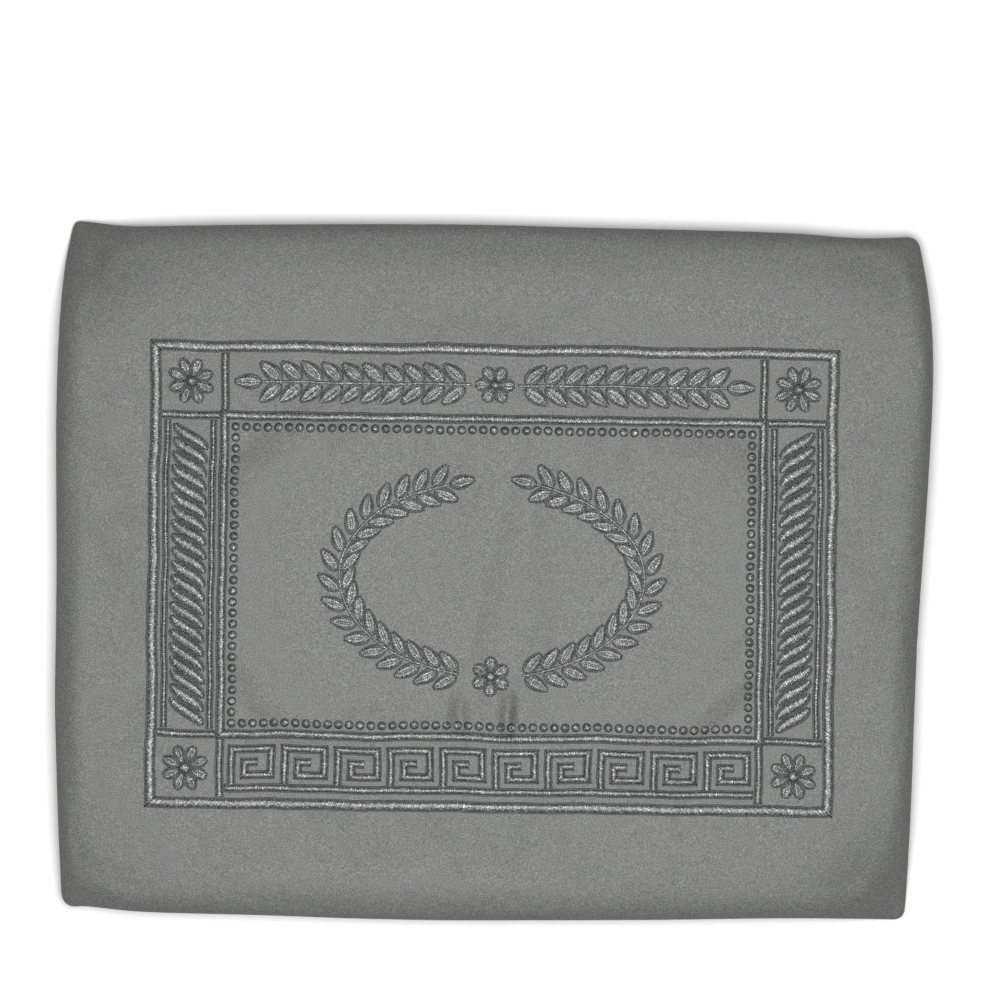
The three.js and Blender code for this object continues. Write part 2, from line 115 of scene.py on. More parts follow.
# The cloth's mesh: how closely it is cut before one subdivision halves it, the narrow strips that
# are cut twice as finely for the puckers, and how it is sewn and settles. The roll is in degrees.
EDGE_STEPS = 9
CLOTH_STEP = 3.6
FINE_ACROSS = (-24.0, 18.0)
FINE_UP = (-84.0, -44.0)
SEAM_ROLL = 5.0
SEAM_GROOVE = 1.3
SEWN_FROM = 0.9999
SHELL_THICKNESS = 1.4
SETTLING_FRAMES = 20
MOST_SETTLING = 1.5
CLOTH_SETTINGS = {
    "quality": 6, "mass": 0.3, "tension_stiffness": 25, "compression_stiffness": 25,
    "shear_stiffness": 10, "bending_stiffness": 1.5, "vertex_group_mass": "held",
    "vertex_group_shrink": "stitched", "shrink_min": 0, "shrink_max": 0.004,
    "use_pressure": True, "uniform_pressure_force": 0.3,
}

# The closed zip behind the slot in the back, and the waves of slack cloth beside the slot.
SLOT_HALF_LENGTH = 150.0
SLOT_LOW = 125.0
SLOT_HIGH = 132.6
TAPE_MARGIN = 4.5
TAPE_THICKNESS = 0.8
SLACK_HEIGHT = 0.5
SLACK_REACH = 9.0
SLACK_WAVE = 7.5
SLACK_ONSET = 2.0

# The stitched frame, from its middle.
FRAME_DROP = 2.3
FRAME_HALF = np.array((140.0, 95.0))
OUTER_RAIL_WIDTH = 3.4
INNER_RAIL_WIDTH = 2.6
BORDER_WIDTH = 30.0
ROOM_ROUND_FRAME = (6.0, 8.0)


def smooth_curve(points):
    """A smooth curve through a table of (along, value) rows, as a function of along."""
    places, values = np.array(points, dtype=float).T
    slopes = np.gradient(values, places)
    slopes[1:-1] = (values[2:] - values[:-2]) / (places[2:] - places[:-2])

    def value_at(along):
        along = np.clip(along, places[0], places[-1])
        row = np.clip(np.searchsorted(places, along, side="right") - 1, 0, len(places) - 2)
        span = places[row + 1] - places[row]
        t = (along - places[row]) / span
        rise = t * t * (3 - 2 * t)
        start = (t**3 - 2 * t**2 + t) * span * slopes[row]
        end = (t**3 - t**2) * span * slopes[row + 1]
        return values[row] * (1 - rise) + values[row + 1] * rise + start + end

    return value_at


SIDE_CURVES = {side: smooth_curve(points) for side, points in SIDES.items()}


def corner_value(across, up, values):
    """The value of the corner whose quarter of the bag a point is in."""
    left = np.where(up < 0, values["bottom left"], values["top left"])
    right = np.where(up < 0, values["bottom right"], values["top right"])
    return np.where(across < 0, left, right)


def plan_point(across, up):
    """Where a point of a panel lies seen from above. Across and up run from -1 to 1."""
    radius = corner_value(across, up, CORNER_RADII)
    x = across * HALF_WIDTH
    y = up * HALF_HEIGHT
    into_x = np.clip((np.abs(x) - HALF_WIDTH + radius) / radius, 0, 1)
    into_y = np.clip((np.abs(y) - HALF_HEIGHT + radius) / radius, 0, 1)
    in_corner = (into_x > 0) & (into_y > 0)
    round_x = np.sign(x) * (HALF_WIDTH - radius + radius * into_x * np.sqrt(1 - into_y**2 / 2))
    round_y = np.sign(y) * (HALF_HEIGHT - radius + radius * into_y * np.sqrt(1 - into_x**2 / 2))
    share_x = np.where(in_corner, round_x, x) / BAG_WIDTH + 0.5
    share_y = np.where(in_corner, round_y, y) / BAG_HEIGHT + 0.5
    left = BAG_WIDTH * (SIDE_CURVES["left"](share_y) - 0.5)
    right = BAG_WIDTH * (0.5 - SIDE_CURVES["right"](share_y))
    bottom = BAG_HEIGHT * (SIDE_CURVES["bottom"](share_x) - 0.5)
    top = BAG_HEIGHT * (0.5 - SIDE_CURVES["top"](share_x))
    return left + (right - left) * share_x, bottom + (top - bottom) * share_y


def quarter_round(share, roundness):
    """Rises from 0 at the seam to 1 at the end of the rounding. Roundness 2 is an ellipse, and more
    is fuller."""
    return (1 - (1 - np.clip(share, 0, 1)) ** roundness) ** (1 / roundness)


def fullness(across, up, roundings, thinning, roundness):
    """How far a panel has risen from the seam, from 0 to 1."""
    from_side = (1 - np.abs(across)) * HALF_WIDTH
    from_end = (1 - np.abs(up)) * HALF_HEIGHT
    thinned = corner_value(across, up, thinning)
    side_depth = np.where(across < 0, roundings["left"], roundings["right"])
    end_depth = np.where(up < 0, roundings["bottom"], roundings["top"])
    side_share = from_side / (side_depth * (1 + thinned * np.abs(up) ** THINNING_POWER))
    end_share = from_end / (end_depth * (1 + thinned * np.abs(across) ** THINNING_POWER))
    return quarter_round(side_share, roundness) * quarter_round(end_share, roundness)


def dent_depth(x, y, dents):
    """How deep the dents and puckers in a table lie at a place."""
    depth = np.zeros_like(x)
    for place, reach, degrees, deepest in dents:
        turn = math.radians(degrees)
        away_x = x - place[0]
        away_y = y - place[1]
        along = (away_x * math.cos(turn) + away_y * math.sin(turn)) / reach[0]
        over = (away_y * math.cos(turn) - away_x * math.sin(turn)) / reach[1]
        depth += deepest * np.exp(-(along**2) - over**2)
    return depth


def face_height(across, up):
    """The height of the bag's face, before its cloth settles."""
    x, y = plan_point(across, up)
    crown = BAG_THICKNESS - SEAM_HEIGHT - FACE_DOME
    full = fullness(across, up, FACE_ROUNDINGS, FACE_THINNING, FACE_ROUNDNESS)
    dome = FACE_DOME * (1 - across**2) * (1 - up**2)
    dents = dent_depth(x, y, DENTS) * full + dent_depth(x, y, DROOPS)
    return SEAM_HEIGHT + crown * full + dome - dents


def back_height(across, up):
    """The height of the bag's back, which lies flat inside its rounded edge."""
    x, y = plan_point(across, up)
    full = fullness(across, up, BACK_ROUNDINGS, BACK_THINNING, BACK_ROUNDNESS)
    rounded = SEAM_HEIGHT * (1 - full)
    return np.maximum(rounded - dent_depth(x, y, DROOPS), 0)


def cloth_lines(half, first_rounding, last_rounding, fine=(), kept=()):
    """Lines from -1 to 1 over a half length: close round the edges, even between, and some kept."""
    angles = np.arange(1, EDGE_STEPS) * 90 / EDGE_STEPS
    inward = 1 - np.cos(np.radians(np.append(SEAM_ROLL, angles)))
    first_flat = first_rounding - half
    last_flat = half - last_rounding
    middle = np.linspace(first_flat, last_flat, int((last_flat - first_flat) / CLOTH_STEP) + 1)
    between = (middle[1:] + middle[:-1]) / 2
    lines = np.concatenate([middle, first_rounding * inward - half, half - last_rounding * inward])
    if fine:
        lines = np.append(lines, between[(between > fine[0]) & (between < fine[1])])
    if kept:
        near = np.min(np.abs(lines[:, None] - np.array(kept)), axis=1)
        lines = np.append(lines[near > CLOTH_STEP / 2], kept)
    return np.sort(np.concatenate([lines, [-half, half]])) / half


def grid_faces(rows, columns, is_open=None, flip=False):
    """Quads over a grid of points, without those that is_open says."""
    faces = []
    for j in range(rows - 1):
        for i in range(columns - 1):
            if is_open is not None and is_open[j, i]:
                continue
            corner = j * columns + i
            quad = (corner, corner + 1, corner + columns + 1, corner + columns)
            faces.append(quad[::-1] if flip else quad)
    return faces


def add_piece(name, points, faces, material, slot, replaced=(), tones=None):
    """Makes a smooth mesh from points in millimetres. It rides on the bag and may replace a node."""
    mesh = bpy.data.meshes.new(name)
    mesh.from_pydata((np.asarray(points) * MM).tolist(), [], faces)
    mesh.polygons.foreach_set("use_smooth", [True] * len(mesh.polygons))
    if tones is not None:
        # Each thread's own tone, with painted shade in the valleys between threads.
        attribute = mesh.attributes.new("thread_tone_and_valley_shade", "FLOAT", "POINT")
        attribute.data.foreach_set("value", np.asarray(tones, dtype=np.float32))
    mesh.materials.append(material)
    piece = bpy.data.objects.new(name, mesh)
    bpy.context.collection.objects.link(piece)
    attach(piece, BODY)
    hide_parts(*replaced)
    return piece


def apply_modifiers(piece):
    """Turns what a piece's modifiers make into its own mesh."""
    bpy.context.view_layer.update()
    evaluated = piece.evaluated_get(bpy.context.evaluated_depsgraph_get())
    made = bpy.data.meshes.new_from_object(evaluated)
    piece.modifiers.clear()
    old = piece.data
    piece.data = made
    bpy.data.meshes.remove(old)
    made.name = piece.name


def linear(code):
    """The linear colour of an sRGB hex code."""
    parts = [int(code[k : k + 2], 16) / 255 for k in (1, 3, 5)]
    return tuple(c / 12.92 if c <= 0.04045 else ((c + 0.055) / 1.055) ** 2.4 for c in parts) + (1,)


def add_node(tree, kind, inputs=None, stops=None, **settings):
    """Adds a node, sets it, and sets or links its inputs. A node given as an input is linked by its
    first output. Stops are those of a colour ramp."""
    made = tree.nodes.new(kind)
    for name, value in settings.items():
        setattr(made, name, value)
    for name, value in (inputs or {}).items():
        if isinstance(value, bpy.types.Node):
            value = value.outputs[0]
        if isinstance(value, bpy.types.NodeSocket):
            tree.links.new(value, made.inputs[name])
        else:
            made.inputs[name].default_value = value
    for k, (place, colour) in enumerate(stops or []):
        element = made.color_ramp.elements[k] if k < 2 else made.color_ramp.elements.new(place)
        element.position = place
        element.color = linear(colour)
    return made


def make_material(name, looks):
    """A material. Looks is a function that adds the material's own nodes to its tree, on the object's
    coordinates, and gives the inputs of its shader."""
    material = bpy.data.materials.new(name)
    material.use_nodes = True
    tree = material.node_tree
    tree.nodes.clear()
    place = add_node(tree, "ShaderNodeTexCoord").outputs["Object"]
    shader = add_node(tree, "ShaderNodeBsdfPrincipled", looks(tree, place))
    add_node(tree, "ShaderNodeOutputMaterial", {"Surface": shader})
    return material


def satin_weave_polyester(tree, place):
    """Satin-weave polyester, dyed mid grey. Its long floats of bright yarn throw light back as a
    rough metal would, which the metallic share stands for, and give it a fine sparkle. The weave
    is about 0.15 mm, too fine to show, so its grain is drawn at 0.55 mm. The pattern is moved off the
    plane that the bag lies on, where a noise texture would fade."""
    grain_size = 0.55 * MM
    grain_share = 0.9
    mottle_size = 3.5 * MM
    off_plane = 0.7 * MM
    moved = {"Vector": place, "Location": (0, 0, off_plane), "Scale": (1, 1.2, 1)}
    floats = add_node(tree, "ShaderNodeMapping", moved)
    grain = add_node(tree, "ShaderNodeTexNoise", {"Vector": floats, "Scale": 1 / grain_size, "Detail": 1})
    mottle = add_node(tree, "ShaderNodeTexNoise", {"Vector": floats, "Scale": 1 / mottle_size, "Detail": 2})
    most = add_node(tree, "ShaderNodeMath", {0: grain, 1: grain_share}, operation="MULTIPLY")
    both = {0: mottle, 1: 1 - grain_share, 2: most}
    share = add_node(tree, "ShaderNodeMath", both, operation="MULTIPLY_ADD")
    stops = [(0.25, "#363736"), (0.75, "#6a6b69"), (0.50, "#4f504f")]
    colour = add_node(tree, "ShaderNodeValToRGB", {"Fac": share}, stops)
    bump = add_node(tree, "ShaderNodeBump", {"Height": grain, "Strength": 0.35, "Distance": 0.12 * MM})
    return {"Base Color": colour, "Metallic": 0.15, "Roughness": 0.7, "IOR": 1.5, "Normal": bump}


def embroidery_thread(tree, place, stops, metallic, speckle_size):
    """Embroidery thread laid side by side: each thread has its own tone, which counts for 0.3 of its colour;
    the valleys between threads have painted shade, and painted glints, drawn 1.6 times as strong as the noise
    has them, break it up."""
    # Each thread's tone, with painted shade in the valleys between threads.
    tone = add_node(tree, "ShaderNodeAttribute", attribute_name="thread_tone_and_valley_shade").outputs["Fac"]
    specks = {"Vector": place, "Scale": 1 / (speckle_size * MM), "Detail": 2, "Roughness": 0.7}
    speckle = add_node(tree, "ShaderNodeTexNoise", specks)
    # Painted glints: noise specks that brighten and darken the thread's colour.
    painted_glints = add_node(tree, "ShaderNodeMath", {0: speckle, 1: 1.6, 2: -0.2}, operation="MULTIPLY_ADD")
    share = add_node(tree, "ShaderNodeMath", {0: tone, 1: 0.3, 2: painted_glints}, operation="MULTIPLY_ADD")
    colour = add_node(tree, "ShaderNodeValToRGB", {"Fac": share}, stops)
    bump = add_node(tree, "ShaderNodeBump", {"Height": speckle, "Strength": 0.4, "Distance": 0.15 * MM})
    return {"Base Color": colour, "Metallic": metallic, "Roughness": 0.5, "IOR": 1.5, "Normal": bump}


def silver_metallic_thread(tree, place):
    """Silver metallic thread: a foil strip wound on a core. Its glints are painted into its colour as specks
    of near white.
    """
    stops = [(0.40, "#1c1d1d"), (0.88, "#5f605f"), (1.0, "#a5a6a4"), (0.66, "#3d3e3e")]
    return embroidery_thread(tree, place, stops, metallic=0.3, speckle_size=0.6)


def dark_rayon_thread(tree, place):
    """Rayon embroidery thread, dyed dark grey: smooth, with a soft gloss along each stitch."""
    stops = [(0.40, "#111212"), (0.90, "#353636"), (0.65, "#1e1f1f")]
    return embroidery_thread(tree, place, stops, metallic=0.0, speckle_size=0.9)


def woven_zip_tape(tree, place):
    """Polyester zip tape, woven in slanting ribs about 0.8 mm apart, dull beside the satin. A wave
    texture repeats 3.2 times in one over its scale."""
    scale = 1 / (3.2 * 0.8 * MM)
    waves = {"Vector": place, "Scale": scale, "Distortion": 1.5, "Detail": 1}
    ribs = add_node(tree, "ShaderNodeTexWave", waves, bands_direction="DIAGONAL").outputs["Fac"]
    colour = add_node(tree, "ShaderNodeValToRGB", {"Fac": ribs}, [(0.1, "#5c5e5d"), (0.9, "#757776")])
    bump = add_node(tree, "ShaderNodeBump", {"Height": ribs, "Strength": 0.6, "Distance": 0.1 * MM})
    return {"Base Color": colour, "Roughness": 0.8, "Normal": bump}


def moulded_nylon(tree, place):
    """Moulded nylon of the zip's coil: even, smooth and slightly glossy, with faint flow marks."""
    mark_size = 1.5 * MM
    marks = add_node(tree, "ShaderNodeTexNoise", {"Vector": place, "Scale": 1 / mark_size, "Detail": 2})
    colour = add_node(tree, "ShaderNodeValToRGB", {"Fac": marks}, [(0.3, "#666867"), (0.7, "#767877")])
    return {"Base Color": colour, "Roughness": 0.35, "IOR": 1.53}


def nickel_plated_zinc(tree, place):
    """Die-cast zinc, nickel plated: bright grey metal, rubbed a little duller in patches."""
    rub_size = 2.0 * MM
    rubs = add_node(tree, "ShaderNodeTexNoise", {"Vector": place, "Scale": 1 / rub_size, "Detail": 4})
    colour = add_node(tree, "ShaderNodeValToRGB", {"Fac": rubs}, [(0.3, "#a9a9a6"), (0.7, "#c2c2bf")])
    duller = {"Value": rubs, "From Min": 0.3, "From Max": 0.7, "To Min": 0.25, "To Max": 0.42}
    shine = add_node(tree, "ShaderNodeMapRange", duller)
    return {"Base Color": colour, "Metallic": 1.0, "Roughness": shine}


def sweep_paper(tree, place):
    """Matt pale paper, as a studio sweep is, with a trace of pulp mottle."""
    pulp_size = 25 * MM
    pulp = add_node(tree, "ShaderNodeTexNoise", {"Vector": place, "Scale": 1 / pulp_size, "Detail": 3})
    colour = add_node(tree, "ShaderNodeValToRGB", {"Fac": pulp}, [(0.3, "#c0c0c0"), (0.7, "#c2c2c2")])
    return {"Base Color": colour, "Roughness": 0.9}


# The photograph's view: straight down, with the bag turned a little clockwise in the picture.
PHOTO_SIZE = 1000
BAG_MIDDLE_PIXEL = (492.0, 572.4)
PIXEL_MM = 0.411
BAG_TURN = 0.87
CAMERA_HEIGHT = 2000.0
SENSOR_WIDTH = 36.0
FLOOR_HALF = 6000.0
FLOOR_DROP = 0.2


def place_camera():
    """Looks straight down from far above, so that the bag lies where the photograph has it."""
    turn = math.radians(BAG_TURN)
    right = (PHOTO_SIZE / 2 - BAG_MIDDLE_PIXEL[0]) * PIXEL_MM
    above = (BAG_MIDDLE_PIXEL[1] - PHOTO_SIZE / 2) * PIXEL_MM
    data = bpy.data.cameras.new("camera")
    data.sensor_width = SENSOR_WIDTH
    data.lens = SENSOR_WIDTH * CAMERA_HEIGHT / (PHOTO_SIZE * PIXEL_MM)
    data.clip_end = 100
    camera = bpy.data.objects.new("camera", data)
    camera.location = (
        (right * math.cos(turn) - above * math.sin(turn)) * MM,
        (right * math.sin(turn) + above * math.cos(turn)) * MM,
        (CAMERA_HEIGHT + SEAM_HEIGHT) * MM,
    )
    camera.rotation_euler = (0, 0, turn)
    bpy.context.collection.objects.link(camera)
    bpy.context.scene.camera = camera


def add_area_light(name, place, size, power):
    """A soft square light that faces the bag. Place and size are in metres, and power in watts."""
    data = bpy.data.lights.new(name, "AREA")
    data.size = size
    data.energy = power
    light = bpy.data.objects.new(name, data)
    light.location = place
    light.rotation_euler = (-Vector(place)).to_track_quat("-Z", "Y").to_euler()
    bpy.context.collection.objects.link(light)


def set_stage():
    """A white floor, soft light from above and the bottom edge's side, and a pale room."""
    mesh = bpy.data.meshes.new("floor")
    corners = np.array([(FLOOR_HALF * x, FLOOR_HALF * y, -FLOOR_DROP) for x, y in SQUARE])
    mesh.from_pydata((corners * MM).tolist(), [], [(0, 1, 2, 3)])
    mesh.materials.append(make_material("sweep paper", sweep_paper))
    floor = bpy.data.objects.new("floor", mesh)
    bpy.context.collection.objects.link(floor)
    add_area_light("near softbox", place=(0.01, -0.04, 1.0), size=0.5, power=13.8)
    add_area_light("high softbox", place=(0.08, -0.24, 3.3), size=1.6, power=84)
    world = bpy.data.worlds.new("pale room")
    world.use_nodes = True
    background = world.node_tree.nodes["Background"]
    background.inputs["Color"].default_value = (1, 1, 1, 1)
    background.inputs["Strength"].default_value = 0.12
    bpy.context.scene.world = world
    bpy.context.scene.view_settings.view_transform = "Standard"


def on_seam(across, up):
    """Whether points are a panel's outermost, where it is sewn."""
    return np.maximum(np.abs(across), np.abs(up)) > SEWN_FROM


def seamed_plan(across, up):
    """Where points lie seen from above, with the outermost drawn in where the panels are sewn."""
    x, y = plan_point(across, up)
    drawn = plan_point(across * (1 - SEAM_GROOVE / HALF_WIDTH), up * (1 - SEAM_GROOVE / HALF_HEIGHT))
    sewn = on_seam(across, up)
    return np.where(sewn, drawn[0], x), np.where(sewn, drawn[1], y)


def read_places(mesh):
    """The places of a mesh's vertices, one row each."""
    places = np.empty(len(mesh.vertices) * 3)
    mesh.vertices.foreach_get("co", places)
    return places.reshape(-1, 3)


def write_places(mesh, places):
    """Moves a mesh's vertices."""
    mesh.vertices.foreach_set("co", places.ravel())
    mesh.update()


def settle_cloth(sheet, held, stitched):
    """Lets light filling push the cloth out, with its seam held and its stitched bands drawn in."""
    for name, chosen in (("held", held), ("stitched", stitched)):
        sheet.vertex_groups.new(name=name).add(np.flatnonzero(chosen).tolist(), 1.0, "REPLACE")
    cloth = sheet.modifiers.new("cloth", "CLOTH")
    for name, value in CLOTH_SETTINGS.items():
        setattr(cloth.settings, name, value)
    cloth.settings.effector_weights.gravity = 0
    cloth.collision_settings.use_collision = False
    start = read_places(sheet.data)
    for step in range(1, SETTLING_FRAMES + 1):
        bpy.context.scene.frame_set(step)
    settled = read_places(sheet.evaluated_get(bpy.context.evaluated_depsgraph_get()).data)
    sheet.modifiers.clear()
    bpy.context.scene.frame_set(1)
    length = np.linalg.norm(settled - start, axis=1, keepdims=True)
    share = np.minimum(1, MOST_SETTLING * MM / np.maximum(length, 1e-9))
    write_places(sheet.data, start + (settled - start) * share)
    sheet.vertex_groups.clear()


def add_halving(sheet):
    """A modifier that cuts a sheet twice as finely, and rounds it."""
    halved = sheet.modifiers.new("halved", "SUBSURF")
    halved.levels = halved.render_levels = 1


def add_wall(sheet, thickness):
    """A modifier that gives a sheet its thickness, inward."""
    wall = sheet.modifiers.new("wall", "SOLIDIFY")
    wall.thickness = thickness * MM
    wall.offset = -1


def make_face(material):
    """The bag's face: crowned cloth that settles over its filling, then takes its puckers."""
    lines = cloth_lines(HALF_WIDTH, FACE_ROUNDINGS["left"], FACE_ROUNDINGS["right"], FINE_ACROSS)
    rows = cloth_lines(HALF_HEIGHT, FACE_ROUNDINGS["bottom"], FACE_ROUNDINGS["top"], FINE_UP)
    across, up = np.meshgrid(lines, rows)
    x, y = seamed_plan(across, up)
    points = np.stack([x, y, face_height(across, up)], axis=-1).reshape(-1, 3)
    faces = grid_faces(len(rows), len(lines))
    face = add_piece("bag_face", points, faces, material, "bag_satin", ["front_panel"])
    half_x, half_y = FRAME_HALF
    beyond = np.maximum(np.abs(x) - half_x, np.abs(y + FRAME_DROP) - half_y)
    stitched = (beyond < 0) & (beyond > -BORDER_WIDTH)
    settle_cloth(face, on_seam(across, up).ravel(), stitched.ravel())
    add_halving(face)
    apply_modifiers(face)
    places = read_places(face.data)
    places[:, 2] -= dent_depth(places[:, 0] / MM, places[:, 1] / MM, PUCKERS) * MM
    write_places(face.data, places)
    add_wall(face, SHELL_THICKNESS)
    apply_modifiers(face)
    return face


def make_back(material):
    """The bag's back: cloth lying flat, slack beside the long slot of its zip."""
    slot_ends = (-SLOT_HALF_LENGTH, SLOT_HALF_LENGTH)
    lines = cloth_lines(HALF_WIDTH, BACK_ROUNDING, BACK_ROUNDING, kept=slot_ends)
    rows = cloth_lines(HALF_HEIGHT, BACK_ROUNDING, BACK_ROUNDING, kept=(SLOT_LOW, SLOT_HIGH))
    across, up = np.meshgrid(lines, rows)
    x, y = seamed_plan(across, up)
    z = back_height(across, up)
    from_slot = np.maximum(SLOT_LOW - up * HALF_HEIGHT, up * HALF_HEIGHT - SLOT_HIGH)
    near_slot = np.exp(-((np.maximum(from_slot, 0) / SLACK_REACH) ** 2))
    slack = near_slot * np.sin(across * HALF_WIDTH / SLACK_WAVE) ** 2
    z += SLACK_HEIGHT * slack * np.clip(z / SLACK_ONSET, 0, 1)
    middle_x = (lines[1:] + lines[:-1]) * HALF_WIDTH / 2
    middle_y = (rows[1:] + rows[:-1]) * HALF_HEIGHT / 2
    in_slot_x = np.abs(middle_x) < SLOT_HALF_LENGTH
    in_slot_y = (middle_y > SLOT_LOW) & (middle_y < SLOT_HIGH)
    is_open = in_slot_y[:, None] & in_slot_x
    points = np.stack([x, y, z], axis=-1).reshape(-1, 3)
    faces = grid_faces(len(rows), len(lines), is_open, flip=True)
    back = add_piece("bag_back", points, faces, material, "bag_satin", ["back_panel"])
    add_halving(back)
    add_wall(back, SHELL_THICKNESS)
    apply_modifiers(back)
    # What has sunk a hair below the plane that the bag lies on is flattened.
    places = read_places(back.data)
    places[:, 2] = np.maximum(places[:, 2], 0)
    write_places(back.data, places)


class ClothHeights:
    """Heights of a cloth's upper surface, read once on a fine grid."""

    STEP = 1.5
    ABOVE = 100.0

    def __init__(self, piece, half_x, half_y):
        tree = BVHTree.FromObject(piece, bpy.context.evaluated_depsgraph_get())
        self.xs = np.arange(-half_x, half_x + self.STEP, self.STEP)
        self.ys = np.arange(-half_y, half_y + self.STEP, self.STEP)
        self.heights = np.zeros((len(self.ys), len(self.xs)))
        down = Vector((0, 0, -1))
        for j, y in enumerate(self.ys):
            for i, x in enumerate(self.xs):
                hit = tree.ray_cast(Vector((x * MM, y * MM, self.ABOVE * MM)), down)[0]
                self.heights[j, i] = hit.z / MM

    def at(self, x, y):
        """The height at each place, between the grid's four nearest."""
        i = np.clip((x - self.xs[0]) / self.STEP, 0, len(self.xs) - 1.001)
        j = np.clip((y - self.ys[0]) / self.STEP, 0, len(self.ys) - 1.001)
        i0, j0 = i.astype(int), j.astype(int)
        u, v = i - i0, j - j0
        low = self.heights[j0, i0] * (1 - u) + self.heights[j0, i0 + 1] * u
        high = self.heights[j0 + 1, i0] * (1 - u) + self.heights[j0 + 1, i0 + 1] * u
        return low * (1 - v) + high * v


# Embroidery thread. Real satin stitches lie 0.4 mm apart, which is finer than the picture can show,
# so the rows are laid 0.9 mm apart. A profile across the stitch is a table of places from -1 to 1
# over its width and of shares of its height. A dome's rings are shares of its reach and its rise.
# Tones run from 0 for the darkest thread to 1 for the brightest; the valleys between threads take a low tone
# that is painted shade.
THREAD_PITCH = 0.9
VALLEY_DEPTH = 0.35
VALLEY_NARROWING = 0.08
STITCH_RISE = 0.95
STITCH_ROOT = -0.25
LINE_PITCH = 1.5
LINE_HALF_WIDTH = 0.48
LINE_RISE = 0.55
LINE_OFFSET = 0.3
LEAF_LINE_OFFSET = LINE_OFFSET * 0.8
STRAND_LINE_OFFSET = LINE_OFFSET * 0.7
SATIN_PROFILE = [(-1, 0), (-0.86, 0.55), (-0.45, 0.92), (0, 1), (0.45, 0.92), (0.86, 0.55), (1, 0)]
LEAF_PROFILE = [
    (-1, 0), (-0.85, 0.6), (-0.5, 1), (-0.14, 0.7), (0, 0.35), (0.14, 0.7), (0.5, 1), (0.85, 0.6), (1, 0),
]
LINE_PROFILE = [(-1, 0), (-0.5, 1), (0.5, 1), (1, 0)]
DOME_RINGS = np.array([(1, 0), (1, 0.35), (0.72, 0.85), (0.3, 1), (0.02, 1)])
DOME_SIDES = 12
THREAD_TONES = (0.35, 1.0)
DOME_TONES = (0.3, 0.7)
# Painted shade in the valleys between threads, given as a tone.
PAINTED_VALLEY_SHADE = 0.1

# How far the face's cloth has crept sideways under the pull of its stitches, in broad and fine waves.
BROAD_CREEP = (0.28, 0.32)
FINE_CREEP = 0.12


def creep(x, y):
    """The creep of the face's cloth at each place, across and up."""
    across = BROAD_CREEP[0] * np.sin(y / 9.0 + 1.0) * np.sin(x / 31.0)
    up = BROAD_CREEP[1] * np.sin(x / 10.0 + 0.4) * np.sin(y / 27.0 + 0.8)
    across += FINE_CREEP * np.sin(y / 3.7 + x / 23.0)
    up += FINE_CREEP * np.sin(x / 4.1 - y / 19.0)
    return np.stack([across, up], axis=-1)


def on_back(places):
    """Turns places and rises drawn on a flat sheet into points on the outside of the back."""
    across = places[:, 0] / HALF_WIDTH
    up = places[:, 1] / HALF_HEIGHT
    x, y = plan_point(across, up)
    return np.stack([x, y, back_height(across, up) - places[:, 2]], axis=-1)


class Sewing:
    """Gathers strips into one mesh, as places, heights above the cloth, faces and tones. Its thread
    is a material and its slot."""

    def __init__(self, thread):
        self.thread = thread
        self.places = []
        self.tones = []
        self.faces = []
        self.count = 0

    def add(self, places, tones, rows, columns):
        """Adds a closed strip: a ridged upper surface, a flat root below it, and its two ends."""
        first = self.count
        self.places.append(places.reshape(-1, 3))
        self.tones.append(tones.reshape(-1))
        corner = first + np.arange(rows - 1)[:, None] * columns + np.arange(columns - 1)
        quads = np.stack([corner, corner + 1, corner + columns + 1, corner + columns], axis=-1)
        self.faces += quads[..., ::-1].reshape(-1, 4).tolist()
        left = first + np.arange(rows - 1) * columns
        right = left + columns - 1
        self.faces += np.stack([left, right, right + columns, left + columns], axis=-1).tolist()
        self.faces.append(list(range(first, first + columns)))
        last = first + (rows - 1) * columns
        self.faces.append(list(range(last + columns - 1, last - 1, -1)))
        self.count += rows * columns

    def make(self, name, heights, replaced=()):
        """Lays all the strips on the face's cloth as one piece."""
        places = np.concatenate(self.places)
        places[:, :2] += creep(places[:, 0], places[:, 1])
        places[:, 2] += heights.at(places[:, 0], places[:, 1])
        add_piece(name, places, self.faces, *self.thread, replaced, np.concatenate(self.tones))

    def make_below(self, name):
        """Lays all the strips on the outside of the back as one piece, facing down."""
        places = on_back(np.concatenate(self.places))
        faces = [face[::-1] for face in self.faces]
        add_piece(name, places, faces, *self.thread, tones=np.concatenate(self.tones))


def path_marks(path):
    """How far along a path each of its points is."""
    return np.append(0, np.cumsum(np.linalg.norm(np.diff(path, axis=0), axis=1)))


def at_mark(mark, marks, values):
    """Values of a path's points at marks along it."""
    return np.stack([np.interp(mark, marks, values[:, k]) for k in (0, 1)], axis=-1)


def left_of(directions):
    """Directions turned a quarter to the left."""
    return np.stack([-directions[..., 1], directions[..., 0]], axis=-1)


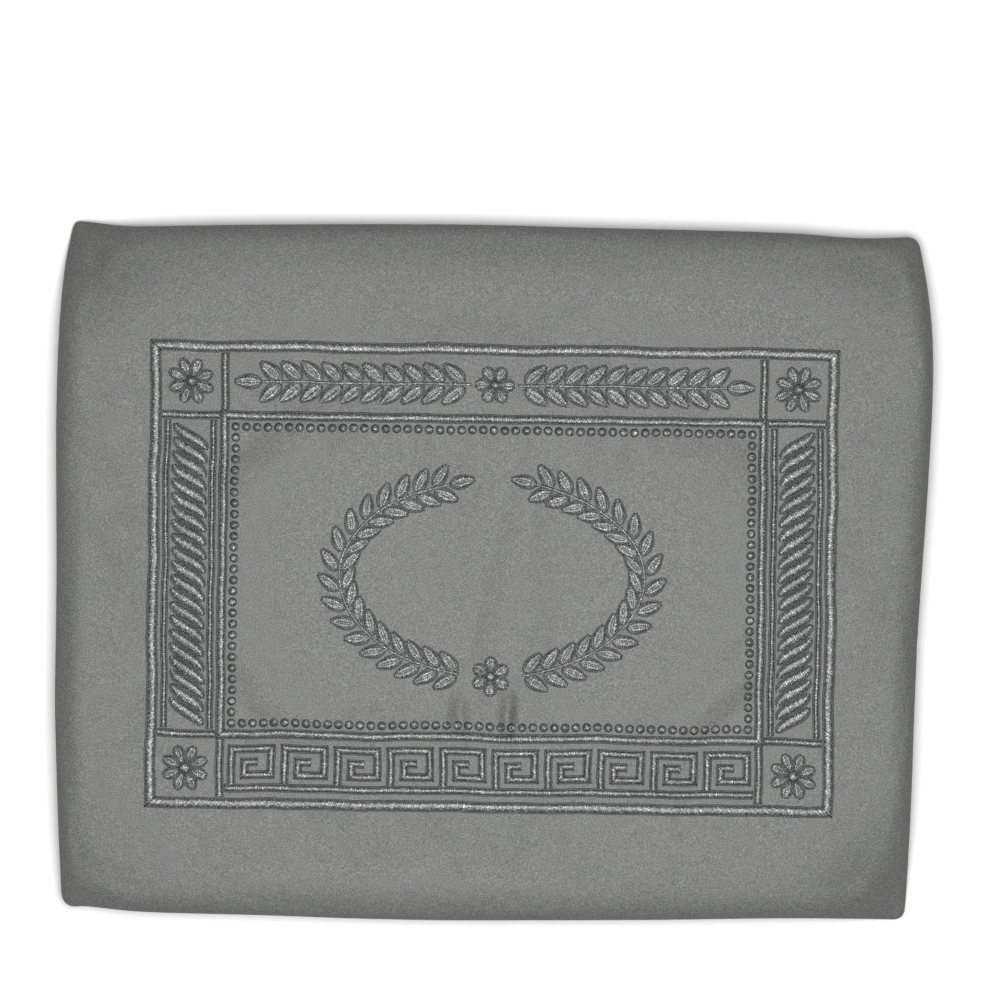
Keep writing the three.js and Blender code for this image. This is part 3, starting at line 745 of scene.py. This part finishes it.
def lay_strip(sewing, path, half_width, profile, rise, pitch, rows_each=2, mitre=(0, 0), slant=0.0):
    """Lays threads across a path. Half width is a number, or a function of the share of the length.
    Mitre slopes the strip's ends, and slant leans its threads forward on both sides."""
    path = np.asarray(path, dtype=float)
    marks = path_marks(path)
    length = marks[-1]
    rows = max(2, round(length / pitch)) * rows_each + 1
    share = np.linspace(0, 1, rows)
    half = half_width(share) if callable(half_width) else np.full(rows, half_width)
    place, level = np.array(profile, dtype=float).T
    ridge = (np.arange(rows) % rows_each) != 0
    side = half[:, None] * place * np.where(ridge, 1, 1 - VALLEY_NARROWING)[:, None]
    start = mitre[0] * side
    end = length + mitre[1] * side
    lean = slant * np.abs(side) * (1 - share[:, None])
    along = start + (end - start) * share[:, None] + lean
    inside = np.clip(along, 0, length)
    tangent = at_mark(inside, marks, np.gradient(path, marks, axis=0))
    tangent /= np.linalg.norm(tangent, axis=-1, keepdims=True)
    point = at_mark(inside, marks, path)
    flat = point + tangent * (along - inside)[..., None] + left_of(tangent) * side[..., None]
    fade = np.sqrt(np.clip(half / half.max(), 0.04, 1))
    height = level * (rise * fade * np.where(ridge, 1, 1 - VALLEY_DEPTH))[:, None]
    lift = np.where(level > 0, height, STITCH_ROOT)
    thread = rng.uniform(*THREAD_TONES, rows // rows_each + 1)[np.arange(rows) // rows_each]
    # Ridge rows take their thread's tone, and valley rows take painted shade.
    tones = np.repeat(np.where(ridge, thread, PAINTED_VALLEY_SHADE), len(place))
    sewing.add(np.concatenate([flat, lift[..., None]], axis=-1), tones, rows, len(place))


def lay_satin(sewing, path, half_width, mitre=(0, 0)):
    lay_strip(sewing, path, half_width, SATIN_PROFILE, STITCH_RISE, THREAD_PITCH, mitre=mitre)


def lay_line(sewing, path, mitre=(0, 0)):
    lay_strip(sewing, path, LINE_HALF_WIDTH, LINE_PROFILE, LINE_RISE, LINE_PITCH, 3, mitre)


def rectangle_sides(half_x, half_y):
    """The four sides of a rectangle about the frame's middle, anticlockwise."""
    corners = [(x * half_x, y * half_y - FRAME_DROP) for x, y in SQUARE]
    return [(corners[k], corners[(k + 1) % 4]) for k in range(4)]


def lay_rail(silver, dark, half_x, half_y, half_width):
    """A mitred satin rail round a rectangle, between two dark lines."""
    for side in rectangle_sides(half_x, half_y):
        lay_satin(silver, side, half_width, mitre=(1, -1))
    edge = half_width + LINE_OFFSET
    for grow in (-edge, edge):
        for side in rectangle_sides(half_x + grow, half_y + grow):
            lay_line(dark, side, mitre=(1, -1))


def lay_bar(silver, dark, start, end, half_width):
    """A straight satin bar between two dark lines. Its ends are given from the frame's middle."""
    start = np.array(start, dtype=float) - (0, FRAME_DROP)
    end = np.array(end, dtype=float) - (0, FRAME_DROP)
    edge = left_of((end - start) / np.linalg.norm(end - start)) * (half_width + LINE_OFFSET)
    lay_satin(silver, [start, end], half_width)
    lay_line(dark, [start - edge, end - edge])
    lay_line(dark, [start + edge, end + edge])


LEAF_ROUNDNESS = 0.75
LEAF_SLANT = 0.6
LEAF_POINTS = 14
FLOWER_CORE = 0.2
PETAL_BELLY = 1.35
PETAL_FILL = 0.82
KNOT_RING = 0.6
KNOT_RING_RISE = STITCH_RISE * 0.8
KNOT_RISE = STITCH_RISE * 1.2


def lay_leaf(silver, dark, base, angle, length, half_width, belly=0.8):
    """A satin-stitched leaf or petal with a sunk midrib and a dark outline. The more its belly, the
    nearer its widest place is to its tip."""
    direction = np.array([math.cos(angle), math.sin(angle)])
    base = np.asarray(base, dtype=float)

    def width_at(share):
        return half_width * np.maximum(np.sin(np.pi * share**belly), 0.02) ** LEAF_ROUNDNESS

    leaf = [base, base + direction * length]
    lay_strip(silver, leaf, width_at, LEAF_PROFILE, STITCH_RISE, THREAD_PITCH, slant=LEAF_SLANT)
    share = np.linspace(0, 1, LEAF_POINTS)
    for side in (-1, 1):
        out = side * (width_at(share) + LEAF_LINE_OFFSET)
        lay_line(dark, base + direction * length * share[:, None] + left_of(direction) * out[:, None])


def lay_dome(sewing, middle, reach, foot, top):
    """A low oval dome, from its foot to its top."""
    turns = np.linspace(0, 2 * np.pi, DOME_SIDES + 1)
    size, risen = DOME_RINGS.T[:, :, None]
    x = middle[0] + reach[0] * size * np.cos(turns)
    y = middle[1] - reach[1] * size * np.sin(turns)
    z = foot + (top - foot) * risen + 0 * x
    tones = np.full(x.shape, rng.uniform(*DOME_TONES))
    sewing.add(np.stack([x, y, z], axis=-1), tones, len(DOME_RINGS), len(turns))


def lay_knot(sewing, middle, radius, rise):
    """A small round knot of thread."""
    lay_dome(sewing, middle, (radius, radius), STITCH_ROOT, rise)


def lay_flower(silver, dark, middle, radius, petals, turned=0.0):
    """A rosette of satin petals round a knot."""
    core = radius * FLOWER_CORE
    width = (radius + core) / 2 * math.tan(math.pi / petals) * PETAL_FILL
    for k in range(petals):
        angle = turned + 2 * math.pi * k / petals
        base = (middle[0] + core * math.cos(angle), middle[1] + core * math.sin(angle))
        lay_leaf(silver, dark, base, angle, radius - core, width, belly=PETAL_BELLY)
    lay_knot(dark, middle, core + KNOT_RING, KNOT_RING_RISE)
    lay_knot(silver, middle, core, KNOT_RISE)


# Distances of the frame's lines from its middle, the half lengths of its bands, and its flowers.
OUTER_LINE = FRAME_HALF - OUTER_RAIL_WIDTH / 2
INNER_LINE = FRAME_HALF - BORDER_WIDTH
BAND_INNER = INNER_LINE + INNER_RAIL_WIDTH / 2
BAND_OUTER = FRAME_HALF - OUTER_RAIL_WIDTH
BAND_MIDDLE = (BAND_INNER + BAND_OUTER) / 2
BAND_WIDTH = BAND_OUTER[0] - BAND_INNER[0]
BAND_END_GAP = 0.8
BAND_HALF_LENGTHS = INNER_LINE - INNER_RAIL_WIDTH / 2 - BAND_END_GAP
BAR_HALF_WIDTH = INNER_RAIL_WIDTH / 2 - 0.2
BAR_END_GAP = 1.0
ROSETTE_RADIUS = BAND_WIDTH / 2 - 3.0
ROSETTE_PETALS = 8
FLOWER_RADIUS = 8.0
FLOWER_PETALS = 6


def sew_rails(threads, heights):
    """The frame's outer and inner rails, and the bars that part its corner blocks from its bands."""
    outer, dark = map(Sewing, threads)
    lay_rail(outer, dark, *OUTER_LINE, OUTER_RAIL_WIDTH / 2)
    outer.make("outer_rail_stitches", heights, ["embroidery_outer_rail"])
    inner = Sewing(threads[0])
    lay_rail(inner, dark, *INNER_LINE, INNER_RAIL_WIDTH / 2)
    near = INNER_LINE + BAR_HALF_WIDTH + BAR_END_GAP
    far = BAND_OUTER - BAR_END_GAP
    for x in (-1, 1):
        for y in (-1, 1):
            line_x = x * INNER_LINE[0]
            line_y = y * INNER_LINE[1]
            lay_bar(inner, dark, (line_x, y * near[1]), (line_x, y * far[1]), BAR_HALF_WIDTH)
            lay_bar(inner, dark, (x * near[0], line_y), (x * far[0], line_y), BAR_HALF_WIDTH)
    inner.make("inner_rail_stitches", heights, ["embroidery_inner_rail"])
    dark.make("rail_outlines", heights)


def sew_rosettes(threads, heights):
    """An eight-petal rosette in each corner block."""
    dark = Sewing(threads[1])
    for side_y, row in ((-1, "lower"), (1, "upper")):
        for side_x, column in ((-1, "left"), (1, "right")):
            silver = Sewing(threads[0])
            middle = (side_x * BAND_MIDDLE[0], side_y * BAND_MIDDLE[1] - FRAME_DROP)
            lay_flower(silver, dark, middle, ROSETTE_RADIUS, ROSETTE_PETALS, math.pi / 8)
            corner = f"{row}_{column}"
            silver.make(f"rosette_stitches_{corner}", heights, [f"embroidery_rosette_{corner}"])
    dark.make("rosette_outlines", heights)


ROPE_HALF_WIDTH = 6.2
ROPE_PITCH = 5.6
ROPE_HALF_RISE = 5.5
STRAND_HALF_WIDTH = 1.95
STRAND_RISE = STITCH_RISE * 1.15
STRAND_ROUNDNESS = 0.55
STRAND_POINTS = 22
GUARD_OFFSET = 9.4
GUARD_HALF_WIDTH = 0.8


def sew_ropes(threads, heights):
    """A twisted rope up each side band, between two fine guard bars."""
    half_length = BAND_HALF_LENGTHS[1]
    count = int((2 * half_length - 2 * ROPE_HALF_RISE) / ROPE_PITCH) + 1
    turn = np.linspace(-1, 1, STRAND_POINTS)

    def width_at(share):
        return STRAND_HALF_WIDTH * np.maximum(1 - (2 * share - 1) ** 2, 0.01) ** STRAND_ROUNDNESS

    for side, name in ((-1, "left"), (1, "right")):
        silver, dark = map(Sewing, threads)
        x0 = side * BAND_MIDDLE[0]
        for k in range(count):
            y0 = (k - (count - 1) / 2) * ROPE_PITCH - FRAME_DROP
            x = x0 + side * ROPE_HALF_WIDTH * np.sin(turn * math.pi / 2)
            path = np.stack([x, y0 + ROPE_HALF_RISE * turn], axis=-1)
            lay_strip(silver, path, width_at, SATIN_PROFILE, STRAND_RISE, THREAD_PITCH)
            tangent = np.gradient(path, axis=0)
            tangent /= np.linalg.norm(tangent, axis=1, keepdims=True)
            out = left_of(tangent) * (width_at((turn + 1) / 2)[:, None] + STRAND_LINE_OFFSET)
            lay_line(dark, path + out)
            lay_line(dark, path - out)
        for x in (x0 - GUARD_OFFSET, x0 + GUARD_OFFSET):
            lay_bar(silver, dark, (x, -half_length), (x, half_length), GUARD_HALF_WIDTH)
        silver.make(f"rope_stitches_{name}", heights)
        dark.make(f"rope_outlines_{name}", heights)


LEAF_PITCH = 8.3
LEAF_LENGTH = 11.2
LEAF_HALF_WIDTH = 2.7
LEAF_ANGLE = math.radians(40)
LEAF_FOOT = 1.3
STEM_HALF_WIDTH = 0.7
BRANCH_START = 9.5
BRANCH_END_GAP = 2.5


def lay_branch(silver, dark, path, leaf_length, leaf_width, pitch, first=0.0):
    """A stem with pairs of leaves along it, and a leaf at its tip."""
    path = np.asarray(path, dtype=float)
    marks = path_marks(path)
    lay_satin(silver, path, STEM_HALF_WIDTH)
    tangents = np.gradient(path, marks, axis=0)
    for mark in np.arange(first, marks[-1] - pitch * 0.4, pitch):
        at = at_mark(mark, marks, path)
        ahead = at_mark(mark, marks, tangents)
        for side in (-1, 1):
            angle = math.atan2(ahead[1], ahead[0]) + side * LEAF_ANGLE
            base = (at[0] + LEAF_FOOT * math.cos(angle), at[1] + LEAF_FOOT * math.sin(angle))
            lay_leaf(silver, dark, base, angle, leaf_length, leaf_width)
    heading = math.atan2(tangents[-1][1], tangents[-1][0])
    lay_leaf(silver, dark, path[-1], heading, leaf_length, leaf_width)


def lay_leaf_band(silver, dark):
    """Two leafy branches along the top band, from a flower in its middle out to its ends."""
    y0 = BAND_MIDDLE[1] - FRAME_DROP
    reach = INNER_LINE[0] - INNER_RAIL_WIDTH / 2 - LEAF_LENGTH - BRANCH_END_GAP
    for side in (-1, 1):
        path = [(side * x, y0) for x in np.linspace(BRANCH_START, reach, 20)]
        lay_branch(silver, dark, path, LEAF_LENGTH, LEAF_HALF_WIDTH, LEAF_PITCH, first=2.0)
    lay_flower(silver, dark, (0, y0), FLOWER_RADIUS, FLOWER_PETALS)


KEY_COUNT = 10
KEY_SIZE = 16.0
KEY_HALF_WIDTH = 1.1
KEY_TURNS = [(0, 0), (0, 1), (1, 1), (1, 1 / 3), (1 / 3, 1 / 3), (1 / 3, 2 / 3), (2 / 3, 2 / 3)]


def lay_bent_line(path, lay, offset=0.0):
    """Lays mitred straight strips along a path of right angles, moved sideways by an offset."""
    path = np.asarray(path, dtype=float)
    headings = np.diff(path, axis=0)
    headings /= np.linalg.norm(headings, axis=1, keepdims=True)
    turns = [np.sign(a[0] * b[1] - a[1] * b[0]) for a, b in zip(headings, headings[1:])]
    starts = [0] + turns
    ends = turns + [0]
    for k, heading in enumerate(headings):
        out = left_of(heading) * offset
        start = path[k] + out + heading * starts[k] * offset
        end = path[k + 1] + out - heading * ends[k] * offset
        lay([start, end], (starts[k], -ends[k]))


def lay_key_band(silver, dark):
    """A key fret along the bottom band: hooks of satin on a base bar."""
    half_length = BAND_HALF_LENGTHS[0]
    pitch = 2 * half_length / KEY_COUNT
    base_y = -BAND_MIDDLE[1] - KEY_SIZE / 2
    lay_bar(silver, dark, (-half_length, base_y), (half_length, base_y), KEY_HALF_WIDTH)
    edge = KEY_HALF_WIDTH + LINE_OFFSET
    for k in range(KEY_COUNT):
        x0 = -half_length + pitch * k + (pitch - KEY_SIZE) / 2
        hook = [(x0 + u * KEY_SIZE, base_y - FRAME_DROP + v * KEY_SIZE) for u, v in KEY_TURNS]
        hook[0] = (hook[0][0], hook[0][1] + edge)
        lay_bent_line(hook, lambda path, mitre: lay_satin(silver, path, KEY_HALF_WIDTH, mitre))
        for offset in (-edge, edge):
            lay_bent_line(hook, lambda path, mitre: lay_line(dark, path, mitre), offset)


PEARL_PITCH = 4.4
PEARL_RADIUS = 1.35
PEARL_INSET = 4.6
PEARL_RING = 0.55
PEARL_RING_RISE = STITCH_RISE * 0.45
WREATH_HALF = (62.0, 40.0)
WREATH_START = math.radians(-78)
WREATH_END = math.radians(73.2)
WREATH_LEAVES = (LEAF_LENGTH * 0.95, LEAF_HALF_WIDTH * 0.9, LEAF_PITCH * 0.93)


def lay_pearls(silver, dark):
    """A row of pearls of thread just inside the inner rail."""
    for start, end in rectangle_sides(*(INNER_LINE - PEARL_INSET)):
        count = round(math.dist(start, end) / PEARL_PITCH)
        for place in np.linspace(start, end, count, endpoint=False):
            lay_knot(dark, place, PEARL_RADIUS + PEARL_RING, PEARL_RING_RISE)
            lay_knot(silver, place, PEARL_RADIUS, STITCH_RISE)


def lay_wreath(silver, dark):
    """An oval wreath of two leafy branches in the frame's middle, tied with a small flower."""
    angles = np.linspace(WREATH_START, WREATH_END, 60)
    for side in (-1, 1):
        x = side * WREATH_HALF[0] * np.cos(angles)
        path = np.stack([x, WREATH_HALF[1] * np.sin(angles) - FRAME_DROP], axis=-1)
        lay_branch(silver, dark, path, *WREATH_LEAVES)
    middle = (0, -WREATH_HALF[1] - FRAME_DROP)
    lay_flower(silver, dark, middle, FLOWER_RADIUS, FLOWER_PETALS, math.pi / 6)


def sew_motifs(threads, heights):
    """The frame's other motifs, each as a piece of silver stitches and a piece of dark outlines."""
    motifs = {"leaf_band": lay_leaf_band, "key_band": lay_key_band, "pearl": lay_pearls, "wreath": lay_wreath}
    for name, lay in motifs.items():
        silver, dark = map(Sewing, threads)
        lay(silver, dark)
        silver.make(f"{name}_stitches", heights)
        dark.make(f"{name}_outlines", heights)


# The zip's parts, on the outside of the back: places from the bag's middle, and rises from the
# cloth's outside, below zero where they lie inside it. A plate's outline says where along the zip
# it starts and ends, from the slider's place, and its half widths there, and its hole says where and
# how large it is.
SLOT_MIDDLE = (SLOT_LOW + SLOT_HIGH) / 2
TAPE_FACE = -SHELL_THICKNESS - 0.2
COIL_ROOT = TAPE_FACE - 0.2
COIL_HALF_LENGTH = SLOT_HALF_LENGTH - 4.5
TOOTH_PITCH = 1.4
TOOTH_REACH = (0.56, 1.25)
TOOTH_OFFSET = 0.95
TOOTH_TOP = -0.25
SLIDER_PLACE = -138.0
PLATES = {
    "zip_slider": {"outline": (-5.5, 5.5, 2.7, 2.0), "rises": (-1.9, 0.75)},
    "zip_bridge": {"outline": (-2.6, 2.6, 0.6, 0.6), "rises": (0.65, 1.35)},
    "zip_pull": {"outline": (0.2, 24.0, 1.9, 2.4), "rises": (0.85, 1.45), "hole": (21.0, 0, 1.2)},
}
EDGE_SOFTENING = 0.22
STOP_PLACES = (SLIDER_PLACE - 8.0, COIL_HALF_LENGTH + 1.6)
STOP_REACH = (1.3, 2.5)
STOP_TOP = 0.1
TOPSTITCH_PITCH = 3.4
TOPSTITCH_MARGIN = 2.2
TOPSTITCH_REACH = (1.35, 0.3)
TOPSTITCH_RISES = (-0.3, 0.25)


def make_tape(material):
    """The zip's tape, a flat sheet behind the slot."""
    tape_x = np.linspace(-SLOT_HALF_LENGTH - TAPE_MARGIN, SLOT_HALF_LENGTH + TAPE_MARGIN, 110)
    tape_y = np.linspace(SLOT_LOW - TAPE_MARGIN, SLOT_HIGH + TAPE_MARGIN, 8)
    x, y = np.meshgrid(tape_x, tape_y)
    flat = np.stack([x, y, np.full_like(x, TAPE_FACE)], axis=-1).reshape(-1, 3)
    faces = grid_faces(len(tape_y), len(tape_x), flip=True)
    tape = add_piece("zip_tape", on_back(flat), faces, material, "zip", ["back_zip"])
    add_wall(tape, TAPE_THICKNESS)
    apply_modifiers(tape)


def make_coil(material):
    """The closed coil: teeth from both sides that lie between each other."""
    coil = Sewing((material, "zip"))
    for k, x in enumerate(np.arange(-COIL_HALF_LENGTH, COIL_HALF_LENGTH, TOOTH_PITCH / 2)):
        side = 1 if k % 2 else -1
        lay_dome(coil, (x, SLOT_MIDDLE + side * TOOTH_OFFSET), TOOTH_REACH, COIL_ROOT, TOOTH_TOP)
    coil.make_below("zip_coil")


def make_topstitching(thread):
    """A row of stitches round the slot that holds the tape to the cloth."""
    rows = Sewing(thread)
    long_x = SLOT_HALF_LENGTH + TOPSTITCH_MARGIN
    for y in (SLOT_LOW - TOPSTITCH_MARGIN, SLOT_HIGH + TOPSTITCH_MARGIN):
        for x in np.arange(-long_x + TOPSTITCH_PITCH / 2, long_x, TOPSTITCH_PITCH):
            lay_dome(rows, (x, y), TOPSTITCH_REACH, *TOPSTITCH_RISES)
    for x in (-long_x, long_x):
        for y in np.linspace(SLOT_LOW, SLOT_HIGH, 3):
            lay_dome(rows, (x, y), TOPSTITCH_REACH[::-1], *TOPSTITCH_RISES)
    rows.make_below("zip_topstitching")


def slider_frame():
    """The place of the slider on the sloping back, and its directions along, up and outward."""
    edges = on_back(np.array([[SLIDER_PLACE, SLOT_LOW, 0], [SLIDER_PLACE, SLOT_HIGH, 0]]))
    upward = Vector(edges[1] - edges[0]).normalized()
    along = Vector((1, 0, 0))
    return Vector((edges[0] + edges[1]) / 2), along, upward, upward.cross(along)


def capsule_outline(start, end, half_start, half_end):
    """An outline round a line along the zip, with a round end of its own size at each end."""
    angles = np.linspace(-np.pi / 2, np.pi / 2, 9)
    rounding = np.stack([np.cos(angles) - 1, np.sin(angles)], axis=-1)
    return np.concatenate([rounding * half_end + (end, 0), (start, 0) - rounding * half_start])


def make_plate(name, material, outline, rises, hole=None):
    """A metal plate on the slider's frame, with softened edges and, if given, a round hole."""
    middle, along, upward, outward = slider_frame()
    outline = capsule_outline(*outline)
    count = len(outline)
    loops = [outline]
    if hole is not None:
        away = outline - hole[:2]
        loops.append(hole[:2] + away / np.linalg.norm(away, axis=1, keepdims=True) * hole[2])
    points = []
    for level in rises:
        for loop in loops:
            points += [tuple(middle + along * u + upward * v + outward * level) for u, v in loop]
    top = count * len(loops)
    faces = []
    for k in range(count):
        n = (k + 1) % count
        faces.append((k, k + top, n + top, n))
        if hole is not None:
            faces.append((count + k, count + n, count + n + top, count + k + top))
            faces.append((k, n, count + n, count + k))
            faces.append((top + k, top + count + k, top + count + n, top + n))
    if hole is None:
        faces.append(tuple(range(count)))
        faces.append(tuple(range(2 * count - 1, count - 1, -1)))
    plate = add_piece(name, points, faces, material, "zip")
    soft = plate.modifiers.new("soft edges", "BEVEL")
    soft.width = EDGE_SOFTENING * MM
    soft.segments = 2
    apply_modifiers(plate)


def make_slider(material):
    """The slider with its bridge, its pull tab and the stops at the zip's two ends."""
    for name, shape in PLATES.items():
        make_plate(name, material, **shape)
    stops = Sewing((material, "zip"))
    for x in STOP_PLACES:
        lay_dome(stops, (x, SLOT_MIDDLE), STOP_REACH, COIL_ROOT, STOP_TOP)
    stops.make_below("zip_stops")


place_camera()
set_stage()
satin = make_material("satin-weave polyester", satin_weave_polyester)
silver_thread = make_material("silver metallic thread", silver_metallic_thread)
dark_thread = make_material("rayon embroidery thread", dark_rayon_thread)
threads = ((silver_thread, "silver_thread"), (dark_thread, "dark_thread"))
face = make_face(satin)
make_back(satin)
make_tape(make_material("woven polyester tape", woven_zip_tape))
make_coil(make_material("moulded nylon", moulded_nylon))
make_topstitching(threads[1])
make_slider(make_material("nickel-plated zinc", nickel_plated_zinc))
heights = ClothHeights(face, *(FRAME_HALF + ROOM_ROUND_FRAME))
sew_rails(threads, heights)
sew_rosettes(threads, heights)
sew_ropes(threads, heights)
sew_motifs(threads, heights)
